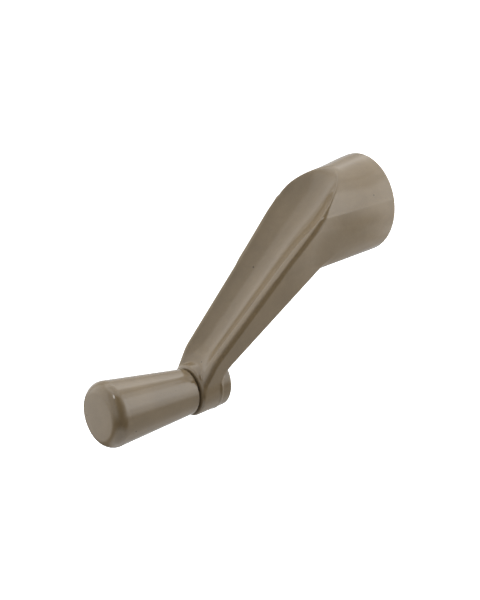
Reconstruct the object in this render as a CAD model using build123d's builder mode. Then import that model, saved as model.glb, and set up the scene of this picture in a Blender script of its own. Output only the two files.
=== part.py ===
"""Crank handle of a casement window operator.

Own frame: the axis of the splined bore is Z, the open mouth of the hub lies on Z = 0 and the
shaft of the operator enters it from below.  The arm runs toward +X and the knob points up +Z.
All sizes are in millimetres.
"""

import os

from build123d import *

# Hub: a round boss that leans toward the arm; its shoulders close in above the straight part.
HUB_R = 12.0
HUB_LEAN = 0.138
HUB_TAPER = 0.029
HUB_STRAIGHT = 15.0
SHOULDER_Z = 20.0
SHOULDER_R = 10.4
CROWN_Z = 24.5
CROWN_R = 7.9

# Splined bore for the operator shaft.
BORE_R = 4.75
BORE_DEPTH = 13.0
SPLINES = 10
SPLINE_WIDTH = 0.6
SPLINE_DEPTH = 0.45
LEAD_IN = 0.4

# Arm: front face, back face and tapering flanks.
CRANK_R = 39.0
FACE_Z = 22.2
FACE_SLOPE = 0.841
NOSE_X = -3.0
NOSE_RADIUS = 29.0
NOSE_TURN = 30.0
ROOT_X = -2.0
ARM_HALF = 8.7
ARM_TAPER = 0.083
KINK_X = 31.0
KINK_ROUND = 10.0
END_Z = 51.4
BACK_X = 13.0
BACK_Z = 20.4
BACK_SLOPE = 1.156
FOOT_X = 9.0
HEEL_ROUND = 3.0
ARMPIT_ROUND = 6.0
EDGE_ROUND = 1.3

# Flute: the hollow along the front face, as (distance from the bore, half width, depth).
FLUTE_SECTIONS = (
    (-8.5, 3.0, 0.3),
    (-1.0, 6.6, 1.6),
    (34.0, 3.7, 0.9),
)

# Boss that carries the knob.
BOSS_FRONT = 50.4
BOSS_REAR = 42.1
BOSS_R_FRONT = 6.1
BOSS_R_REAR = 6.3
BOSS_LEAN = 1.2
PARTING_Z = 45.0

# Knob, bush, spindle and washer.
KNOB_Z = 50.9
KNOB_LENGTH = 24.9
KNOB_R_SMALL = 5.5
KNOB_R_LARGE = 8.15
KNOB_END_ROUND = 3.0
KNOB_SEAT_ROUND = 0.4
KNOB_BORE_R = 4.1
KNOB_BORE_DEPTH = 19.0
BUSH_LENGTH = 6.5
JOURNAL_R = 2.5
RUNNING = 0.05
END_PLAY = 0.1
HEAD_R = 3.7
HEAD_LENGTH = 1.8
SHANK_R = 2.0
PEEN_R = 3.3
PEEN_HEIGHT = 1.1
WASHER_R = 4.6
WASHER_T = 0.4
WASHER_FIT = 0.1

# Set screw through the hub wall.
SCREW_Z = 6.5
SCREW_R = 2.5
SCREW_FIT = 0.06
SCREW_LENGTH = 6.0
SCREW_TIP = 4.8
SCREW_POINT = 0.6
SOCKET_ACROSS = 2.5
SOCKET_DEPTH = 2.5


def face_height(x):
    """Height of the straight part of the front face above the mouth."""
    return FACE_Z + FACE_SLOPE * x


def arm_half(x):
    """Half width of the arm at a distance x from the bore axis."""
    return ARM_HALF - ARM_TAPER * x


def face_plane(x):
    """Plane across the arm, square to its front face, where the face passes over x."""
    return Plane(origin=(x, 0, face_height(x)), x_dir=(0, 1, 0), z_dir=(1, 0, FACE_SLOPE))


os.makedirs("parts", exist_ok=True)
knob_axis = Axis((CRANK_R, 0, 0), (0, 0, 1))

# Arm blank: the tapering plan outline, cut to the side profile of the arm.
with BuildPart() as arm_blank:
    with BuildSketch():
        with BuildLine():
            end_half = BOSS_R_FRONT - 0.15
            Polyline(
                (ROOT_X, -arm_half(ROOT_X)),
                (KINK_X, -arm_half(KINK_X)),
                (CRANK_R, -end_half),
                (CRANK_R, end_half),
                (KINK_X, arm_half(KINK_X)),
                (ROOT_X, arm_half(ROOT_X)),
                close=True,
            )
        make_face()
    extrude(amount=60)
    with BuildSketch(Plane.XZ):
        with BuildLine():
            heel_x = BACK_X + (PARTING_Z - BACK_Z) / BACK_SLOPE
            foot_z = BACK_Z - BACK_SLOPE * (BACK_X - FOOT_X)
            Polyline(
                (ROOT_X, foot_z),
                (ROOT_X, face_height(ROOT_X)),
                (KINK_X, face_height(KINK_X)),
                (CRANK_R, END_Z),
                (CRANK_R, PARTING_Z),
                (heel_x, PARTING_Z),
                (FOOT_X, foot_z),
                close=True,
            )
        make_face()
    extrude(amount=30, both=True, mode=Mode.INTERSECT)
    across = arm_blank.edges().filter_by(Axis.Y)
    fillet(across.sort_by_distance((KINK_X, 0, face_height(KINK_X)))[0], radius=KINK_ROUND)
    across = arm_blank.edges().filter_by(Axis.Y)
    fillet(across.sort_by_distance((heel_x, 0, PARTING_Z))[0], radius=HEEL_ROUND)
    long_edges = [
        arm_blank.edges().sort_by_distance((15, side * arm_half(15), face_height(15)))[0]
        for side in (-1, 1)
    ]
    fillet(long_edges, radius=EDGE_ROUND)

# Everything above the front face, used to trim the hub to the nose curve.
with BuildPart() as above_face:
    with BuildSketch(Plane.XZ):
        with BuildLine():
            straight = Line((45, face_height(45)), (NOSE_X, face_height(NOSE_X)))
            nose = JernArc(straight @ 1, straight % 1, radius=NOSE_RADIUS, arc_size=NOSE_TURN)
            Polyline(nose @ 1, (-20, (nose @ 1).Y), (-20, 70), (45, 70), (45, face_height(45)))
        make_face()
    extrude(amount=30, both=True)

# Hub, trimmed to the nose curve with its edge rounded.
with BuildPart() as hub:
    rings = [(z, HUB_R - HUB_TAPER * z) for z in (0, HUB_STRAIGHT / 2, HUB_STRAIGHT)]
    for z, radius in rings + [(SHOULDER_Z, SHOULDER_R), (CROWN_Z, CROWN_R)]:
        with BuildSketch(Plane.XY.offset(z)):
            with Locations((HUB_LEAN * z, 0)):
                Circle(radius)
    loft()
    add(above_face.part, mode=Mode.SUBTRACT)
    curved = hub.edges().filter_by(GeomType.BSPLINE).filter_by_position(Axis.X, -12, 1)
    fillet(curved.filter_by_position(Axis.Z, 5, 24), radius=EDGE_ROUND)

# Flute: a hollow in the front face that fades at the nose and narrows toward the knob.
with BuildPart() as flute:
    for x, half, depth in FLUTE_SECTIONS:
        with BuildSketch(face_plane(x)):
            with BuildLine():
                ThreePointArc((-half, 0), (0, -depth), (half, 0))
                Polyline((half, 0), (half, 3), (-half, 3), (-half, 0))
            make_face()
    loft(ruled=True)

# Crank arm: one casting of hub, fluted arm and knob boss.
with BuildPart() as crank_arm:
    add(hub.part)
    add(arm_blank.part)
    armpit = [
        crank_arm.edges().sort_by_distance((12.3, side * 4.4, 19.6))[0] for side in (-1, 1)
    ]
    fillet(armpit, radius=ARMPIT_ROUND)
    add(flute.part, mode=Mode.SUBTRACT)
    split(bisect_by=Plane.XY.offset(BOSS_FRONT), keep=Keep.BOTTOM)
    with BuildSketch(Plane.XY.offset(BOSS_REAR)):
        with Locations((CRANK_R - BOSS_LEAN, 0)):
            Circle(BOSS_R_REAR)
    with BuildSketch(Plane.XY.offset(BOSS_FRONT)):
        with Locations((CRANK_R, 0)):
            Circle(BOSS_R_FRONT)
    loft()
    with Locations((CRANK_R, 0, BOSS_FRONT)):
        Hole(SHANK_R, depth=BOSS_FRONT - BOSS_REAR + 1)
    with Locations((0, 0, 0)):
        Cylinder(BORE_R, BORE_DEPTH, align=(Align.CENTER, Align.CENTER, Align.MIN), mode=Mode.SUBTRACT)
        Cone(
            BORE_R + LEAD_IN,
            BORE_R,
            LEAD_IN,
            align=(Align.CENTER, Align.CENTER, Align.MIN),
            mode=Mode.SUBTRACT,
        )
    with BuildSketch():
        with PolarLocations(BORE_R, SPLINES):
            Rectangle(2 * SPLINE_DEPTH, SPLINE_WIDTH)
    extrude(amount=BORE_DEPTH, mode=Mode.SUBTRACT)
    with BuildSketch(Plane.XZ):
        with Locations((0, SCREW_Z)):
            Circle(SCREW_R + SCREW_FIT)
    extrude(amount=HUB_R + 2, mode=Mode.SUBTRACT)
crank_arm.part.label = "crank_arm"
export_step(crank_arm.part, "parts/crank_arm.step")

# Set screw: headless, with a cup-ended point and a hexagon socket facing out of the hub.
screw_plane = Plane(origin=(0, -SCREW_TIP, SCREW_Z), x_dir=(1, 0, 0), z_dir=(0, -1, 0))
with BuildPart() as set_screw:
    with BuildSketch(screw_plane):
        Circle(SCREW_R)
    extrude(amount=SCREW_LENGTH)
    rims = set_screw.edges().filter_by(GeomType.CIRCLE).sort_by(Axis.Y)
    chamfer(rims[0], length=0.4)
    chamfer(rims[-1], length=SCREW_POINT, length2=SCREW_POINT * 1.5)
    with BuildSketch(screw_plane.offset(SCREW_LENGTH)):
        RegularPolygon(SOCKET_ACROSS / 2, 6, major_radius=False)
    extrude(amount=-SOCKET_DEPTH, mode=Mode.SUBTRACT)
    with Locations(screw_plane):
        Cone(0.9, 0.1, 0.6, align=(Align.CENTER, Align.CENTER, Align.MIN), mode=Mode.SUBTRACT)
set_screw.part.label = "set_screw"
export_step(set_screw.part, "parts/set_screw.step")

# Knob: a hollow casting, open at its small end and rounded at its closed end.
with BuildPart() as knob:
    with BuildSketch(Plane.XZ):
        with BuildLine():
            top = KNOB_Z + KNOB_LENGTH
            Polyline(
                (CRANK_R, KNOB_Z),
                (CRANK_R + KNOB_R_SMALL, KNOB_Z),
                (CRANK_R + KNOB_R_LARGE, top),
                (CRANK_R, top),
                close=True,
            )
        make_face()
    revolve(axis=knob_axis)
    rims = knob.edges().filter_by(GeomType.CIRCLE).sort_by(Axis.Z)
    fillet(rims[-1], radius=KNOB_END_ROUND)
    fillet(rims[0], radius=KNOB_SEAT_ROUND)
    with Locations((CRANK_R, 0, KNOB_Z)):
        Cylinder(
            KNOB_BORE_R,
            KNOB_BORE_DEPTH,
            align=(Align.CENTER, Align.CENTER, Align.MIN),
            mode=Mode.SUBTRACT,
        )
knob.part.label = "knob"
export_step(knob.part, "parts/knob.step")

# Bush pressed into the mouth of the knob.
with BuildPart() as knob_bush:
    with BuildSketch(Plane.XY.offset(KNOB_Z)):
        with Locations((CRANK_R, 0)):
            Circle(KNOB_BORE_R)
            Circle(JOURNAL_R + RUNNING, mode=Mode.SUBTRACT)
    extrude(amount=BUSH_LENGTH)
knob_bush.part.label = "knob_bush"
export_step(knob_bush.part, "parts/knob_bush.step")

# Spindle: head inside the knob, journal through the bush, shank through the boss, peened tail.
with BuildPart() as knob_spindle:
    with BuildSketch(Plane.XZ):
        with BuildLine():
            head_z = KNOB_Z + BUSH_LENGTH + END_PLAY
            Polyline(
                (CRANK_R, BOSS_REAR - PEEN_HEIGHT),
                (CRANK_R, head_z + HEAD_LENGTH),
                (CRANK_R + HEAD_R, head_z + HEAD_LENGTH),
                (CRANK_R + HEAD_R, head_z),
                (CRANK_R + JOURNAL_R, head_z),
                (CRANK_R + JOURNAL_R, BOSS_FRONT),
                (CRANK_R + SHANK_R, BOSS_FRONT),
                (CRANK_R + SHANK_R, BOSS_REAR),
                (CRANK_R + PEEN_R, BOSS_REAR),
            )
            Spline(
                (CRANK_R + PEEN_R, BOSS_REAR),
                (CRANK_R + 0.7 * PEEN_R, BOSS_REAR - 0.75 * PEEN_HEIGHT),
                (CRANK_R, BOSS_REAR - PEEN_HEIGHT),
                tangents=((0, -1), (-1, 0)),
            )
        make_face()
    revolve(axis=knob_axis)
knob_spindle.part.label = "knob_spindle"
export_step(knob_spindle.part, "parts/knob_spindle.step")

# Thin washer between the boss and the knob.
with BuildPart() as thrust_washer:
    with BuildSketch(Plane.XY.offset(BOSS_FRONT)):
        with Locations((CRANK_R, 0)):
            Circle(WASHER_R)
            Circle(JOURNAL_R + WASHER_FIT, mode=Mode.SUBTRACT)
    extrude(amount=WASHER_T)
thrust_washer.part.label = "thrust_washer"
export_step(thrust_washer.part, "parts/thrust_washer.step")
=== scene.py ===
"""Looks of the casement window crank handle: painted casting, knob, small steel parts, studio."""

import math

import bpy
import numpy as np
from mathutils import Matrix, Vector


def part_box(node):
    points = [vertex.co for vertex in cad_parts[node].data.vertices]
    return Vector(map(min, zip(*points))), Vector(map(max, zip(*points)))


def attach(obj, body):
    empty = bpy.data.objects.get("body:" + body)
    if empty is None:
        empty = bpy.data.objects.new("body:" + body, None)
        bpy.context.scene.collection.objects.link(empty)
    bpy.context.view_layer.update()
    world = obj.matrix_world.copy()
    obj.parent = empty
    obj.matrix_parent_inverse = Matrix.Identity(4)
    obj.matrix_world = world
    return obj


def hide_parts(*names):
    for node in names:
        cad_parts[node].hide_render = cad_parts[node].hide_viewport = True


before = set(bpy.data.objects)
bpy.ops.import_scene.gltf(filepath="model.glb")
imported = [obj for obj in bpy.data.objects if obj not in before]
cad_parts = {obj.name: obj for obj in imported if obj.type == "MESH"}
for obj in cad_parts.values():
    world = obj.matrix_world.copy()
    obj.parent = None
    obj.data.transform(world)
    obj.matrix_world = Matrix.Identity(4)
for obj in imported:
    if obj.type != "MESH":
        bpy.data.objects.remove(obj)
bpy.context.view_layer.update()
MM = 0.001


# ---------------------------------------------------------------- sizes from the frame, in mm

def node_box(node):
    """Lowest and highest corner of a CAD node, in millimetres."""
    low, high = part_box(node)
    return np.array(low) / MM, np.array(high) / MM


arm_low, arm_high = node_box("crank_arm")
knob_low, knob_high = node_box("knob")
screw_low, screw_high = node_box("set_screw")

KNOB_X = (knob_low[0] + knob_high[0]) / 2
BOSS_FRONT = arm_high[2]
HUB_R = -arm_low[0]

# Shape of the casting, in millimetres. Each *_EDGE is the rounding of an edge.
# Hub: a leaning cone that draws in to the arm's outline between two heights.
HUB_LEAN = 0.138
HUB_TAPER = 0.029
DRAW_START = 2.0
DRAW_END = 22.0
DRAW_EDGE = 1.0
HUB_FILLET = 3.0
HUB_FILLET_DRAWN = 0.1
BASE_EDGE = 0.6

# Front face: a straight slope with a curved nose and a bend before the boss.
FACE_Z = 22.2
FACE_SLOPE = 0.841
NOSE_X = -3.0
NOSE_RADIUS = 29.0
KINK_X = 30.2
KINK_SLOPE = 0.47
KINK_SOFT = 0.9

# Outline of the face in plan: tapering flanks and a blunt elliptical nose.
ARM_HALF = 8.7
ARM_TAPER = 0.083
NOSE_MIDDLE = 1.2
NOSE_TIP = -10.5
NOSE_SWELL = 0.3
SWELL_LENGTH = 9.0

# Back of the arm and its bevelled front edge.
BACK_X = 13.0
BACK_Z = 20.4
BACK_SLOPE = 1.156
BACK_EDGE = 0.7
HEEL_Z = 45.0
HEEL_SOFT = 3.0
ARM_START = -2.0
ARM_END_EDGE = 0.5
CHAMFER = 0.85
CHAMFER_START = -6.5
CHAMFER_FULL = 0.0
EDGE_SOFT = 0.22

# Flute: depth against half width, where it starts and where it fades at the bend.
FLUTE_RATIO = 0.33
FLUTE_SHIFT = 0.4
FLUTE_LIP = 2.2
FLUTE_SOFT = 0.08
FLUTE_START = -12.0
FLUTE_FULL = -3.0
FLUTE_FADE_START = 28.5
FLUTE_FADE_END = 33.0
FLUTE_FADE = 0.5
NOSE_LIP = 0.4
LIP_START = -6.0
LIP_FULL = 6.0

# Boss under the knob, with its parting line, and the step from the arm up to its rim.
BOSS_REAR = 42.1
BOSS_R_FRONT = 6.1
BOSS_R_REAR = 6.3
BOSS_LEAN = 1.2
BOSS_EDGE = 0.7
BOSS_REAR_EDGE = 0.5
BOSS_FILLET = 0.35
PARTING_HEIGHT = 0.16
PARTING_WIDTH = 0.28
COLLAR_STEP = 0.25
COLLAR_EDGE = 0.4

# Bore with its splines, set screw hole and spindle hole.
BORE_R = 4.75
BORE_DEPTH = 13.0
SPLINES = 10
SPLINE_HALF = 0.3
SPLINE_DEPTH = 0.45
LEAD_IN = 0.4
SCREW_GAP = 0.06
SCREW_INNER_Y = 3.0
SPINDLE_HOLE_R = 2.0
HOLE_EDGE = 0.2

# Knob: a tapered shell, open at its seat on the boss, with a rounded, nearly flat end.
KNOB_BORE_R = 4.1
KNOB_BORE_DEPTH = 19.0
KNOB_SEAT_R = 5.5
KNOB_SEAT_EDGE = 0.35
KNOB_WIDEST_R = 7.72
KNOB_WIDEST_DROP = 3.9
KNOB_END_MIDDLE = 4.76
KNOB_END_ROUND = 3.05
KNOB_STEP = 0.4
KNOB_SEGMENTS = 160

# Spacing of the net laid over the casting.
GRID = 0.25

# The taupe enamel: linear colour, how far its clouds stray from it, the noise scales of the
# clouds, grain, gloss patches and orange peel per metre, and the height of the peel in metres.
PAINT = (0.162, 0.119, 0.068)
PAINT_CLOUDING = 0.10
CLOUD_SCALE = 160
GRAIN_SCALE = 4200
NIB_SCALE = 170
GLOSS_SCALE = 420
PEEL_SCALE = 620
FINE_PEEL_SCALE = 2600
PEEL_HEIGHT = 0.000024
SHINIEST = 0.04
DULLEST = 0.10


# The back of the arm is made duller, as a guess, so that it doesn't mirror the light sheet as
# plain white: the way it faces, and how much rougher it is.
BACK_WAY = (0.756, 0.0, -0.654)
BACK_DULLNESS = 0.5


# ---------------------------------------------------------------- small maths helpers

def smoothstep(a, b, x):
    """0 up to a, 1 from b on, smooth between."""
    t = np.clip((x - a) / (b - a), 0, 1)
    return t * t * (3 - 2 * t)


def round_and(a, b, r):
    """Intersection of two solids, its convex edge rounded to radius r."""
    corner = np.hypot(np.maximum(r + a, 0), np.maximum(r + b, 0))
    return np.minimum(np.maximum(a, b), -r) + corner


def round_or(a, b, r):
    """Union of two solids, its inner corner filled to radius r."""
    corner = np.hypot(np.maximum(r - a, 0), np.maximum(r - b, 0))
    return np.maximum(np.minimum(a, b), r) - corner


def soft_or(a, b, k):
    """Union of two solids with a soft blend of width k."""
    h = np.maximum(k - np.abs(a - b), 0) / k
    return np.minimum(a, b) - h * h * k / 4


# ---------------------------------------------------------------- the casting as a distance field

def arm_half(x):
    """Half width of the arm along its length."""
    return ARM_HALF - ARM_TAPER * x


def plan_half(x):
    """Half width of the front face's outline: straight flanks and a blunt elliptical nose."""
    swell = NOSE_SWELL * (1 - smoothstep(NOSE_MIDDLE, NOSE_MIDDLE + SWELL_LENGTH, x))
    flank = arm_half(x) + swell
    reach = np.clip((NOSE_MIDDLE - x) / (NOSE_MIDDLE - NOSE_TIP), 0, 0.999)
    return flank * np.sqrt(1 - reach**2)


def plan_field(x, y):
    """Distance outside the front face's outline in plan."""
    length = NOSE_MIDDLE - NOSE_TIP
    width = arm_half(NOSE_MIDDLE) + NOSE_SWELL
    away = np.hypot((x - NOSE_MIDDLE) / length, y / width)
    fall = np.hypot((x - NOSE_MIDDLE) / length**2, y / width**2)
    nose = away * (away - 1) / np.maximum(fall, 1e-3)
    return np.where(x < NOSE_MIDDLE, nose, np.abs(y) - plan_half(x))


def face_height(x):
    """Height of the front face along the arm: nose curve, straight run, bend at the knob end."""
    straight = FACE_Z + FACE_SLOPE * x
    secant = math.hypot(1, FACE_SLOPE)
    start_z = FACE_Z + FACE_SLOPE * NOSE_X
    centre_x = NOSE_X + NOSE_RADIUS * FACE_SLOPE / secant
    centre_z = start_z - NOSE_RADIUS / secant
    rise = np.sqrt(np.maximum(NOSE_RADIUS**2 - (x - centre_x) ** 2, 0))
    nose = centre_z + rise
    height = np.where(x < NOSE_X, nose, straight)
    over = np.where(
        x > KINK_X + KINK_SOFT,
        x - KINK_X,
        np.maximum(x - KINK_X + KINK_SOFT, 0) ** 2 / (4 * KINK_SOFT),
    )
    return height - (FACE_SLOPE - KINK_SLOPE) * over


def face_field(x, y, z):
    """Distance above the fluted front face."""
    step = 0.05
    slope = (face_height(x + step) - face_height(x - step)) / (2 * step)
    flat = (z - face_height(x)) / np.sqrt(1 + slope**2)
    widened = smoothstep(LIP_START, LIP_FULL, x)
    lip = NOSE_LIP + (FLUTE_LIP - NOSE_LIP) * widened
    shift = FLUTE_SHIFT * widened
    reach = np.maximum(plan_half(x) - lip + shift, 1.0)
    inside = 1 - ((y + shift) / reach) ** 2
    hollow = 0.5 * (inside + np.sqrt(inside**2 + FLUTE_SOFT**2))
    fade = 1 - FLUTE_FADE * smoothstep(FLUTE_FADE_START, FLUTE_FADE_END, x)
    run_out = smoothstep(FLUTE_START, FLUTE_FULL, x) * fade
    return flat + FLUTE_RATIO * reach * run_out * hollow


def hub_field(x, y, z):
    """A straight leaning cone that draws in to the arm's plan on its way to the front face."""
    cone = np.hypot(x - HUB_LEAN * z, y) - (HUB_R - HUB_TAPER * z)
    drawn = round_and(cone, plan_field(x, y), DRAW_EDGE)
    share = smoothstep(DRAW_START, DRAW_END, z)
    return cone + share * (drawn - cone)


def back_field(x, z):
    """Distance behind the arm's slanting back, which levels out under the boss."""
    slanted = (BACK_Z + BACK_SLOPE * (x - BACK_X) - z) / math.hypot(1, BACK_SLOPE)
    level = HEEL_Z - z
    return soft_or(slanted, level, HEEL_SOFT)


def casting_field(x, y, z):
    """Signed distance to the crank arm casting, in millimetres."""
    hub = hub_field(x, y, z)
    flank = np.abs(y) - arm_half(x)
    arm = round_and(flank, back_field(x, z), BACK_EDGE)
    arm = round_and(arm, x - KNOB_X, ARM_END_EDGE)
    arm = np.maximum(arm, ARM_START - x)
    drawn = smoothstep(DRAW_START, DRAW_END, z)
    fillet = HUB_FILLET - (HUB_FILLET - HUB_FILLET_DRAWN) * drawn
    body = round_or(hub, arm, fillet)
    face = face_field(x, y, z)
    leg = CHAMFER * smoothstep(CHAMFER_START, CHAMFER_FULL, x)
    chamfer = (body + face + leg) / math.sqrt(2)
    body = round_and(body, chamfer, EDGE_SOFT)
    body = round_and(body, face, EDGE_SOFT)
    body = round_and(body, -z, BASE_EDGE)
    lean = BOSS_LEAN / (BOSS_FRONT - BOSS_REAR)
    share = (z - BOSS_REAR) / (BOSS_FRONT - BOSS_REAR)
    boss = np.hypot(x - KNOB_X - lean * (z - BOSS_FRONT), y)
    boss = boss - (BOSS_R_REAR + (BOSS_R_FRONT - BOSS_R_REAR) * share)
    boss = boss - PARTING_HEIGHT * np.exp(-(((z - HEEL_Z) / PARTING_WIDTH) ** 2))
    boss = round_and(boss, z - BOSS_FRONT, BOSS_EDGE)
    boss = round_and(boss, BOSS_REAR - z, BOSS_REAR_EDGE)
    body = round_and(body, z - BOSS_FRONT + COLLAR_STEP, COLLAR_EDGE)
    body = round_or(body, boss, BOSS_FILLET)
    radial = np.hypot(x, y)
    bore = np.maximum(radial - BORE_R, z - BORE_DEPTH)
    turn = np.arctan2(y, x)
    pitch = 2 * math.pi / SPLINES
    off = (turn + pitch / 2) % pitch - pitch / 2
    groove = np.maximum(np.abs(off) * radial - SPLINE_HALF, radial - BORE_R - SPLINE_DEPTH)
    groove = np.maximum(groove, z - BORE_DEPTH)
    bore = np.minimum(bore, groove)
    bore = np.minimum(bore, radial - BORE_R - LEAD_IN + z)
    hole_z = (screw_low[2] + screw_high[2]) / 2
    screw_hole = np.hypot(x, z - hole_z) - (screw_high[0] + SCREW_GAP)
    screw_hole = np.maximum(screw_hole, y + SCREW_INNER_Y)
    bore = np.minimum(bore, screw_hole)
    shank = np.hypot(x - KNOB_X, y) - SPINDLE_HOLE_R
    shank = np.maximum(shank, BOSS_REAR - 1 - z)
    bore = np.minimum(bore, shank)
    return round_and(body, -bore, HOLE_EDGE)


# ---------------------------------------------------------------- field to mesh

def surface_mesh(name, field, low, high, step, rounds=4):
    """Mesh of the zero surface of a distance field, by surface nets drawn onto the surface."""
    low = np.array(low) - 2 * step
    counts = [int(math.ceil((high[i] + 2 * step - low[i]) / step)) + 1 for i in range(3)]
    axes = [low[i] + step * np.arange(counts[i]) for i in range(3)]
    values = np.empty(counts, np.float32)
    slab = 24
    for start in range(0, counts[0], slab):
        xs = axes[0][start : start + slab]
        grid = np.meshgrid(xs, axes[1], axes[2], indexing="ij")
        values[start : start + slab] = field(*grid)
    inside = values < 0
    cells = tuple(c - 1 for c in counts)
    total = np.zeros(cells + (3,), np.float32)
    hits = np.zeros(cells, np.int16)

    def corner(offset, array):
        return array[
            offset[0] : offset[0] + cells[0],
            offset[1] : offset[1] + cells[1],
            offset[2] : offset[2] + cells[2],
        ]

    for axis in range(3):
        for a in (0, 1):
            for b in (0, 1):
                first = [0, 0, 0]
                first[(axis + 1) % 3] = a
                first[(axis + 2) % 3] = b
                second = list(first)
                second[axis] = 1
                v0 = corner(first, values)
                v1 = corner(second, values)
                crossing = (v0 < 0) != (v1 < 0)
                gap = np.where(crossing, v0 - v1, 1)
                along = np.where(crossing, v0 / gap, 0)
                hits += crossing
                for i in range(3):
                    if i == axis:
                        total[..., i] += along
                    else:
                        total[..., i] += crossing * first[i]
    active = hits > 0
    number = np.full(cells, -1, np.int64)
    number[active] = np.arange(active.sum())
    where = np.argwhere(active)
    points = low + step * (where + total[active] / hits[active][:, None])
    quads = []
    for axis in range(3):
        u, v = (axis + 1) % 3, (axis + 2) % 3
        head = [slice(None)] * 3
        tail = [slice(None)] * 3
        head[axis] = slice(0, -1)
        tail[axis] = slice(1, None)
        change = inside[tuple(head)] != inside[tuple(tail)]
        spots = np.argwhere(change)
        keep = (spots[:, u] > 0) & (spots[:, v] > 0)
        keep &= (spots[:, u] < cells[u]) & (spots[:, v] < cells[v])
        spots = spots[keep]
        loop = []
        for du, dv in ((1, 1), (0, 1), (0, 0), (1, 0)):
            cell = spots.copy()
            cell[:, u] -= du
            cell[:, v] -= dv
            loop.append(number[cell[:, 0], cell[:, 1], cell[:, 2]])
        loop = np.stack(loop, 1)
        outward = inside[spots[:, 0], spots[:, 1], spots[:, 2]]
        loop[~outward] = loop[~outward][:, ::-1]
        quads.append(loop)
    quads = np.concatenate(quads)
    points = relax(points, quads, field, step, rounds)
    return mesh_object(name, points, quads)


def gradient(field, points, h=0.02):
    """Slope of a distance field at some points, by differences."""
    slope = np.empty_like(points)
    for i in range(3):
        ahead = points.copy()
        behind = points.copy()
        ahead[:, i] += h
        behind[:, i] -= h
        slope[:, i] = (field(*ahead.T) - field(*behind.T)) / (2 * h)
    return slope


def relax(points, quads, field, step, rounds):
    """Evens out the net and draws it back onto the surface, round by round."""
    for turn in range(rounds):
        if turn < rounds - 1:
            around = np.zeros_like(points)
            count = np.zeros(len(points))
            for a, b in ((0, 1), (1, 2), (2, 3), (3, 0)):
                np.add.at(around, quads[:, a], points[quads[:, b]])
                np.add.at(around, quads[:, b], points[quads[:, a]])
                np.add.at(count, quads[:, a], 1)
                np.add.at(count, quads[:, b], 1)
            points = points + 0.5 * (around / count[:, None] - points)
        for _ in range(3):
            value = field(*points.T)
            slope = gradient(field, points)
            length = np.maximum((slope**2).sum(1), 0.2)
            move = slope * (value / length)[:, None]
            size = np.linalg.norm(move, axis=1)
            limit = np.minimum(1, 0.5 * step / np.maximum(size, 1e-9))
            points = points - move * limit[:, None]
    return points


def mesh_object(name, points_mm, faces):
    """A smooth-shaded object from points in millimetres and faces of one size."""
    faces = np.asarray(faces, np.int32)
    mesh = bpy.data.meshes.new(name)
    mesh.vertices.add(len(points_mm))
    mesh.vertices.foreach_set("co", (np.asarray(points_mm) * MM).astype(np.float32).ravel())
    sides = faces.shape[1]
    mesh.loops.add(faces.size)
    mesh.loops.foreach_set("vertex_index", faces.ravel())
    mesh.polygons.add(len(faces))
    mesh.polygons.foreach_set("loop_start", np.arange(0, faces.size, sides, dtype=np.int32))
    mesh.update(calc_edges=True)
    mesh.validate()
    mesh.polygons.foreach_set("use_smooth", np.ones(len(mesh.polygons), bool))
    piece = bpy.data.objects.new(name, mesh)
    bpy.context.scene.collection.objects.link(piece)
    return piece


# ---------------------------------------------------------------- turned pieces

def arc(cx, cz, radius, start, end, steps):
    """Points of an arc in the profile plane, angles in degrees."""
    turn = np.radians(np.linspace(start, end, steps))
    return [(cx + radius * math.cos(a), cz + radius * math.sin(a)) for a in turn]


def even_profile(profile, spacing):
    """The profile with more points added so that no step is longer than the spacing."""
    out = [profile[0]]
    for p, q in zip(profile[:-1], profile[1:]):
        n = max(1, int(math.ceil(math.hypot(q[0] - p[0], q[1] - p[1]) / spacing)))
        for i in range(1, n + 1):
            out.append((p[0] + (q[0] - p[0]) * i / n, p[1] + (q[1] - p[1]) * i / n))
    return out


def lathe(name, profile, cx, cy, segments):
    """A closed solid turned about a vertical axis, from a profile that starts and ends on it."""
    inner = profile[1:-1]
    turn = 2 * math.pi * np.arange(segments) / segments
    rings = [
        np.stack([cx + r * np.cos(turn), cy + r * np.sin(turn), np.full(segments, z)], 1)
        for r, z in inner
    ]
    points = np.concatenate(rings + [[[cx, cy, profile[0][1]]], [[cx, cy, profile[-1][1]]]])
    nxt = (np.arange(segments) + 1) % segments
    here = np.arange(segments)
    quads = []
    for k in range(len(inner) - 1):
        a, b = k * segments, (k + 1) * segments
        quads.append(np.stack([a + here, a + nxt, b + nxt, b + here], 1))
    first = len(inner) * segments
    last = first + 1
    end = (len(inner) - 1) * segments
    caps = [np.stack([np.full(segments, first), nxt, here], 1)]
    caps.append(np.stack([end + here, end + nxt, np.full(segments, last)], 1))
    mesh = bpy.data.meshes.new(name)
    faces = [tuple(q) for group in quads for q in group.tolist()]
    faces += [tuple(t) for group in caps for t in group.tolist()]
    mesh.from_pydata((points * MM).tolist(), [], faces)
    mesh.update()
    mesh.polygons.foreach_set("use_smooth", np.ones(len(mesh.polygons), bool))
    piece = bpy.data.objects.new(name, mesh)
    bpy.context.scene.collection.objects.link(piece)
    return piece


# ---------------------------------------------------------------- materials

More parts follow.
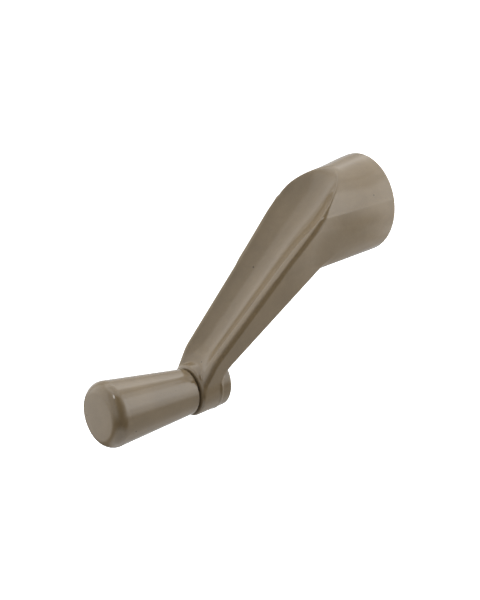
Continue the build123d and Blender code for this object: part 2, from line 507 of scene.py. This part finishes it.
class Shading:
    """Small helpers that add maths nodes to a node tree."""

    def __init__(self, tree):
        self.tree = tree

    def maths(self, operation, *values):
        """A maths node fed with numbers or sockets."""
        node = self.tree.nodes.new("ShaderNodeMath")
        node.operation = operation
        for i, value in enumerate(values):
            if isinstance(value, (int, float)):
                node.inputs[i].default_value = value
            else:
                self.tree.links.new(value, node.inputs[i])
        return node.outputs[0]

    def along(self, source, axis):
        """How far the vector reaches along an axis."""
        node = self.tree.nodes.new("ShaderNodeVectorMath")
        node.operation = "DOT_PRODUCT"
        node.inputs[1].default_value = axis
        self.tree.links.new(source, node.inputs[0])
        return node.outputs["Value"]

    def fade(self, value, full, none):
        """1 from the value full on, 0 from the value none on, smooth between."""
        node = self.tree.nodes.new("ShaderNodeMapRange")
        node.interpolation_type = "SMOOTHSTEP"
        node.inputs["From Min"].default_value = full
        node.inputs["From Max"].default_value = none
        node.inputs["To Min"].default_value = 1
        node.inputs["To Max"].default_value = 0
        self.tree.links.new(value, node.inputs["Value"])
        return node.outputs["Result"]


def principled(name):
    """A new node material with its tree and its main shader."""
    material = bpy.data.materials.new(name)
    material.use_nodes = True
    tree = material.node_tree
    shader = tree.nodes["Principled BSDF"]
    return material, tree, shader


def noise(tree, scale, detail, roughness=0.5, distortion=0.0):
    """A noise texture fixed to the piece it is on."""
    coords = tree.nodes.new("ShaderNodeTexCoord")
    node = tree.nodes.new("ShaderNodeTexNoise")
    node.inputs["Scale"].default_value = scale
    node.inputs["Detail"].default_value = detail
    node.inputs["Roughness"].default_value = roughness
    node.inputs["Distortion"].default_value = distortion
    tree.links.new(coords.outputs["Object"], node.inputs["Vector"])
    return node


def ramp(tree, source, stops):
    """A colour ramp over the source, from (place, colour) stops."""
    node = tree.nodes.new("ShaderNodeValToRGB")
    element = node.color_ramp.elements
    while len(element) < len(stops):
        element.new(0.5)
    for e, (place, colour) in zip(element, stops):
        e.position = place
        e.color = tuple(colour) + (1,) if len(colour) == 3 else colour
    tree.links.new(source, node.inputs["Fac"])
    return node


def paint(name, base, shaded_pits=()):
    """Glossy baked enamel on a casting: cloudy tone, uneven gloss, orange peel, dark nibs, and
    pits darkened as painted shade.
    """
    material, tree, shader = principled(name)
    shader.inputs["IOR"].default_value = 1.5
    maths = Shading(tree)
    cloud = noise(tree, CLOUD_SCALE, 5, 0.6)
    dark = tuple(c * (1 - PAINT_CLOUDING) for c in base)
    light = tuple(c * (1 + PAINT_CLOUDING) for c in base)
    tone = ramp(tree, cloud.outputs["Fac"], [(0.28, dark), (0.5, base), (0.72, light)])
    grain = noise(tree, GRAIN_SCALE, 2, 0.6)
    speckle = tree.nodes.new("ShaderNodeMix")
    speckle.data_type = "RGBA"
    speckle.blend_type = "MULTIPLY"
    speckle.inputs["Factor"].default_value = 0.5
    fleck = ramp(tree, grain.outputs["Fac"], [(0.3, (0.86, 0.87, 0.88)), (0.7, (1.0, 1.0, 1.0))])
    tree.links.new(tone.outputs["Color"], speckle.inputs[6])
    tree.links.new(fleck.outputs["Color"], speckle.inputs[7])
    nibs = tree.nodes.new("ShaderNodeTexVoronoi")
    nibs.inputs["Scale"].default_value = NIB_SCALE
    coords = tree.nodes.new("ShaderNodeTexCoord")
    tree.links.new(coords.outputs["Object"], nibs.inputs["Vector"])
    speck_and_pit_shade_mask = maths.fade(nibs.outputs["Distance"], 0.02, 0.05)
    # Each pit is painted dark: painted shade standing in for the shade inside it.
    for place, size in shaded_pits:
        away = tree.nodes.new("ShaderNodeVectorMath")
        away.operation = "DISTANCE"
        tree.links.new(coords.outputs["Object"], away.inputs[0])
        away.inputs[1].default_value = tuple(c * MM for c in place)
        pit_shade = maths.fade(away.outputs["Value"], 0.5 * size * MM, size * MM)
        speck_and_pit_shade_mask = maths.maths("MAXIMUM", speck_and_pit_shade_mask, pit_shade)
    # Darkens the dust nibs, and paints shade into the pits.
    speck_and_pit_shade_mix = tree.nodes.new("ShaderNodeMix")
    speck_and_pit_shade_mix.data_type = "RGBA"
    tree.links.new(speck_and_pit_shade_mask, speck_and_pit_shade_mix.inputs["Factor"])
    tree.links.new(speckle.outputs[2], speck_and_pit_shade_mix.inputs[6])
    speck_and_pit_shade_mix.inputs[7].default_value = tuple(c * 0.35 for c in base) + (1,)
    tree.links.new(speck_and_pit_shade_mix.outputs[2], shader.inputs["Base Color"])
    patch = noise(tree, GLOSS_SCALE, 4, 0.55)
    gloss = ramp(tree, patch.outputs["Fac"], [(0.3, (SHINIEST,) * 3), (0.7, (DULLEST,) * 3)])
    facing = maths.along(coords.outputs["Normal"], BACK_WAY)
    dull = maths.fade(facing, 0.97, 0.85)
    rough = maths.maths("MULTIPLY_ADD", dull, BACK_DULLNESS, gloss.outputs["Color"])
    tree.links.new(rough, shader.inputs["Roughness"])
    peel = noise(tree, PEEL_SCALE, 2, 0.45, 0.2)
    fine = noise(tree, FINE_PEEL_SCALE, 2, 0.5)
    height = maths.maths("MULTIPLY_ADD", fine.outputs["Fac"], 0.14, peel.outputs["Fac"])
    height = maths.maths("MULTIPLY_ADD", speck_and_pit_shade_mask, 0.9, height)
    bump = tree.nodes.new("ShaderNodeBump")
    bump.inputs["Strength"].default_value = 0.8
    bump.inputs["Distance"].default_value = PEEL_HEIGHT
    tree.links.new(height, bump.inputs["Height"])
    tree.links.new(bump.outputs["Normal"], shader.inputs["Normal"])
    return material


def metal(name, base, rough, grain):
    """Bare metal or dull stock: cloudy tone, uneven gloss and a fine grain."""
    material, tree, shader = principled(name)
    shader.inputs["Metallic"].default_value = 1.0
    cloud = noise(tree, grain, 5, 0.6)
    dark = tuple(c * 0.8 for c in base)
    tone = ramp(tree, cloud.outputs["Fac"], [(0.3, dark), (0.7, base)])
    tree.links.new(tone.outputs["Color"], shader.inputs["Base Color"])
    spread = ramp(
        tree,
        cloud.outputs["Fac"],
        [(0.3, (rough * 0.8,) * 3), (0.7, (min(1, rough * 1.3),) * 3)],
    )
    tree.links.new(spread.outputs["Color"], shader.inputs["Roughness"])
    bump = tree.nodes.new("ShaderNodeBump")
    bump.inputs["Strength"].default_value = 0.2
    bump.inputs["Distance"].default_value = 0.00002
    tree.links.new(cloud.outputs["Fac"], bump.inputs["Height"])
    tree.links.new(bump.outputs["Normal"], shader.inputs["Normal"])
    return material


def dress(piece, material):
    """Gives a piece one material."""
    piece.data.materials.clear()
    piece.data.materials.append(material)


# Small pits in the paint of the casting, each painted as a dark dot of painted shade: place and
# radius in millimetres.
SHADED_PITS = (
    ((-5.7, 9.8, 5.8), 0.30),
    ((33.4, 3.9, 49.9), 0.35),
    ((29.6, 8.1, 44.4), 0.16),
)
# The casting's paint carries the pits' painted shade.
paint_arm = paint("paint_arm", PAINT, SHADED_PITS)
paint_knob = paint("paint_knob", PAINT)

# ---------------------------------------------------------------- pieces

arm = surface_mesh("crank_casting", casting_field, arm_low, arm_high, GRID)
dress(arm, paint_arm)
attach(arm, "crank")
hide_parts("crank_arm")

top = knob_high[2]
seat = knob_low[2]
bore_end = seat + KNOB_BORE_DEPTH
profile = [(0.0, bore_end), (KNOB_BORE_R - 0.5, bore_end), (KNOB_BORE_R, bore_end - 0.5)]
profile += [(KNOB_BORE_R, seat + 0.15), (KNOB_BORE_R + 0.15, seat)]
profile += arc(KNOB_SEAT_R - KNOB_SEAT_EDGE, seat + KNOB_SEAT_EDGE, KNOB_SEAT_EDGE, -90, -6, 5)
profile += [(KNOB_WIDEST_R, top - KNOB_WIDEST_DROP)]
profile += arc(KNOB_END_MIDDLE, top - KNOB_END_ROUND, KNOB_END_ROUND, -6, 74, 18)
profile += [(3.9, top - 0.04), (2.0, top - 0.01), (0.0, top)]
outline = even_profile(profile, KNOB_STEP)
knob = lathe("knob_shell", outline, KNOB_X, 0.0, KNOB_SEGMENTS)
dress(knob, paint_knob)
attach(knob, "grip")
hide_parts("knob")

steel = metal("spindle_steel", (0.56, 0.55, 0.53), 0.3, 1500)
bronze = metal("bush_bronze", (0.60, 0.40, 0.22), 0.4, 2500)
black_steel = metal("screw_steel", (0.10, 0.10, 0.105), 0.35, 2000)
fibre = metal("washer_fibre", (0.03, 0.028, 0.026), 0.6, 2000)
for node, finish in (
    ("knob_spindle", steel),
    ("knob_bush", bronze),
    ("set_screw", black_steel),
    ("thrust_washer", fibre),
):
    dress(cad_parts[node], finish)

# ---------------------------------------------------------------- studio

FLOOR_Z = -0.10
STUDIO_RADIUS = 3.0


def studio_shell(name, radius, floor_z, rings, segments):
    """A round floor that rises into a dome, so that every side has a plain pale backdrop."""
    points = [(0.0, 0.0, floor_z)]
    for ring in range(rings + 1):
        rise = 0.5 * math.pi * ring / rings
        for step in range(segments):
            way = 2 * math.pi * step / segments
            out = radius * math.cos(rise) if ring < rings else 0.001
            height = floor_z + radius * math.sin(rise)
            points.append((out * math.cos(way), out * math.sin(way), height))
    faces = []
    for step in range(segments):
        faces.append((0, 1 + step, 1 + (step + 1) % segments))
    for ring in range(rings):
        here = 1 + ring * segments
        above = here + segments
        for step in range(segments):
            after = (step + 1) % segments
            faces.append((here + step, above + step, above + after, here + after))
    mesh = bpy.data.meshes.new(name)
    mesh.from_pydata(points, [], faces)
    piece = bpy.data.objects.new(name, mesh)
    bpy.context.scene.collection.objects.link(piece)
    return piece


floor = studio_shell("studio_floor", STUDIO_RADIUS, FLOOR_Z, 12, 48)
floor_white, floor_tree, shader = principled("floor_white")
shader.inputs["Base Color"].default_value = (0.9, 0.9, 0.9, 1)
shader.inputs["Roughness"].default_value = 0.9
shader.inputs["Emission Color"].default_value = (1, 1, 1, 1)
shader.inputs["Emission Strength"].default_value = 1.0
dress(floor, floor_white)

# Only the camera sees the shell, so it neither lights the object nor takes its shadow.
floor.visible_diffuse = False
floor.visible_glossy = False
floor.visible_shadow = False

# Camera in the shared frame: its right, its up, the way back from the object, and its place,
# moved by half a pixel's width at the object each way to line up the outline.
CAMERA_RIGHT = Vector((-0.07443, 0.62661, -0.77577))
CAMERA_UP = -Vector((0.91426, 0.35353, 0.19784))
CAMERA_BACK = -Vector((0.39823, -0.69453, -0.5992))
CAMERA_PLACE = Vector((-0.12176, 0.24512, 0.24778))
HALF_PIXEL = 0.000115
LONG_SIDE_PIXELS = 600
FOCAL_PIXELS = 1500
SENSOR_WIDTH = 36
camera_data = bpy.data.cameras.new("camera")
camera_data.sensor_width = SENSOR_WIDTH
camera_data.lens = SENSOR_WIDTH * FOCAL_PIXELS / LONG_SIDE_PIXELS
camera_data.clip_start = 0.01
camera = bpy.data.objects.new("camera", camera_data)
turn = Matrix((CAMERA_RIGHT, CAMERA_UP, CAMERA_BACK)).transposed()
place = CAMERA_PLACE + HALF_PIXEL * (CAMERA_UP - CAMERA_RIGHT)
camera.matrix_world = Matrix.Translation(place) @ turn.to_4x4()
bpy.context.scene.collection.objects.link(camera)
bpy.context.scene.camera = camera

# The far part of the light tent: soft-edged windows of brightness round the object. Longitude is
# measured from the way the main camera looks, positive to its right, and latitude up from its
# level plane, all in degrees.
# The brightnesses were fitted to the reflections in the paint, then adjusted.
# name: (longitude, half width, softness, latitude, half height, softness, brightness)
TENT = {
    "overhead": (0, 181, 1, 90, 30, 10, 1.93),
    "front_top": (25, 28, 10, 55, 8, 7, 0.85),
    "right_wall": (85, 50, 20, 25, 35, 15, 1.27),
    "left_box": (-88, 36, 7, 25, 26, 12, 0.68),
    "left_wall": (-110, 60, 20, 25, 45, 15, 1.20),
    "backdrop": (1, 47, 5, 33, 32, 8, 0.78),
    "front_left": (-24, 11, 6, 12, 14, 6, 0.50),
    "table": (0, 181, 1, -90, 40, 15, 1.30),
    "right_low": (72, 35, 12, -32, 18, 8, 0.76),
    "front_low": (10, 30, 12, -30, 25, 12, 0.66),
    "left_floor": (-80, 40, 14, -24, 14, 10, 0.44),
    "lamp": (-165, 7, 3, 50, 7, 3, 7.00),
}

# Bright panels close to the object, on one sheet to the camera's right. Distances are in metres
# from the middle of the knob, and each panel fades out over its edge.
# name: (lowest, highest, nearest, farthest, fade, brightness)
SHEET_DISTANCE = 0.110
PANELS = {
    "right_panel": (-0.010, 0.160, -0.065, 0.060, 0.016, 1.02),
    "right_core": (0.022, 0.105, -0.053, 0.007, 0.017, 1.08),
}


def light_tent():
    """Lights the object all round with the windows of the tent."""
    world = bpy.data.worlds.new("light_tent")
    bpy.context.scene.world = world
    world.use_nodes = True
    tree = world.node_tree
    sky = Shading(tree)
    way = tree.nodes.new("ShaderNodeTexCoord").outputs["Generated"]
    right = sky.along(way, CAMERA_RIGHT)
    up = sky.along(way, CAMERA_UP)
    ahead = sky.along(way, -CAMERA_BACK)
    longitude = sky.maths("DEGREES", sky.maths("ARCTAN2", right, ahead))
    latitude = sky.maths("DEGREES", sky.maths("ARCSINE", up))
    total = 0.0
    for lon, width, soft, lat, height, edge, brightness in TENT.values():
        turn = sky.maths("WRAP", sky.maths("SUBTRACT", longitude, lon), 180, -180)
        across = sky.fade(sky.maths("ABSOLUTE", turn), width - soft, width + soft)
        rise = sky.maths("ABSOLUTE", sky.maths("SUBTRACT", latitude, lat))
        along = sky.fade(rise, height - edge, height + edge)
        window = sky.maths("MULTIPLY", sky.maths("MULTIPLY", across, along), brightness)
        total = sky.maths("ADD", window, total)
    background = tree.nodes["Background"]
    background.inputs["Color"].default_value = (1, 1, 1, 1)
    tree.links.new(total, background.inputs["Strength"])


def light_sheet():
    """A glowing sheet that carries the panels, unseen by the camera itself."""
    data = bpy.data.lights.new("light_sheet", "AREA")
    data.shape = "RECTANGLE"
    lowest = min(p[0] - p[4] for p in PANELS.values())
    highest = max(p[1] + p[4] for p in PANELS.values())
    nearest = min(p[2] - p[4] for p in PANELS.values())
    farthest = max(p[3] + p[4] for p in PANELS.values())
    data.size = farthest - nearest
    data.size_y = highest - lowest
    data.energy = math.pi * data.size * data.size_y
    light = bpy.data.objects.new("light_sheet", data)
    origin = Vector((KNOB_X, 0, (knob_low[2] + knob_high[2]) / 2)) * MM
    centre = origin + CAMERA_RIGHT * SHEET_DISTANCE
    centre += CAMERA_UP * (lowest + highest) / 2
    centre -= CAMERA_BACK * (nearest + farthest) / 2
    face = Matrix((-CAMERA_BACK, CAMERA_UP, CAMERA_RIGHT)).transposed()
    light.matrix_world = Matrix.Translation(centre) @ face.to_4x4()
    light.visible_camera = False
    bpy.context.scene.collection.objects.link(light)
    data.use_nodes = True
    tree = data.node_tree
    glow = Shading(tree)
    place = tree.nodes.new("ShaderNodeNewGeometry").outputs["Position"]
    up = glow.maths("SUBTRACT", glow.along(place, CAMERA_UP), origin.dot(CAMERA_UP))
    ahead = glow.maths("ADD", glow.along(place, -CAMERA_BACK), origin.dot(CAMERA_BACK))
    total = 0.0
    for low, high, near, far, fade, brightness in PANELS.values():
        rise = glow.maths("ABSOLUTE", glow.maths("SUBTRACT", up, (low + high) / 2))
        run = glow.maths("ABSOLUTE", glow.maths("SUBTRACT", ahead, (near + far) / 2))
        tall = (high - low) / 2
        wide = (far - near) / 2
        window = glow.maths(
            "MULTIPLY",
            glow.fade(rise, tall - fade, tall + fade),
            glow.fade(run, wide - fade, wide + fade),
        )
        total = glow.maths("MULTIPLY_ADD", window, brightness, total)
    tree.links.new(total, tree.nodes["Emission"].inputs["Strength"])


light_tent()
light_sheet()

view = bpy.context.scene.view_settings
view.view_transform = "Standard"
view.look = "None"
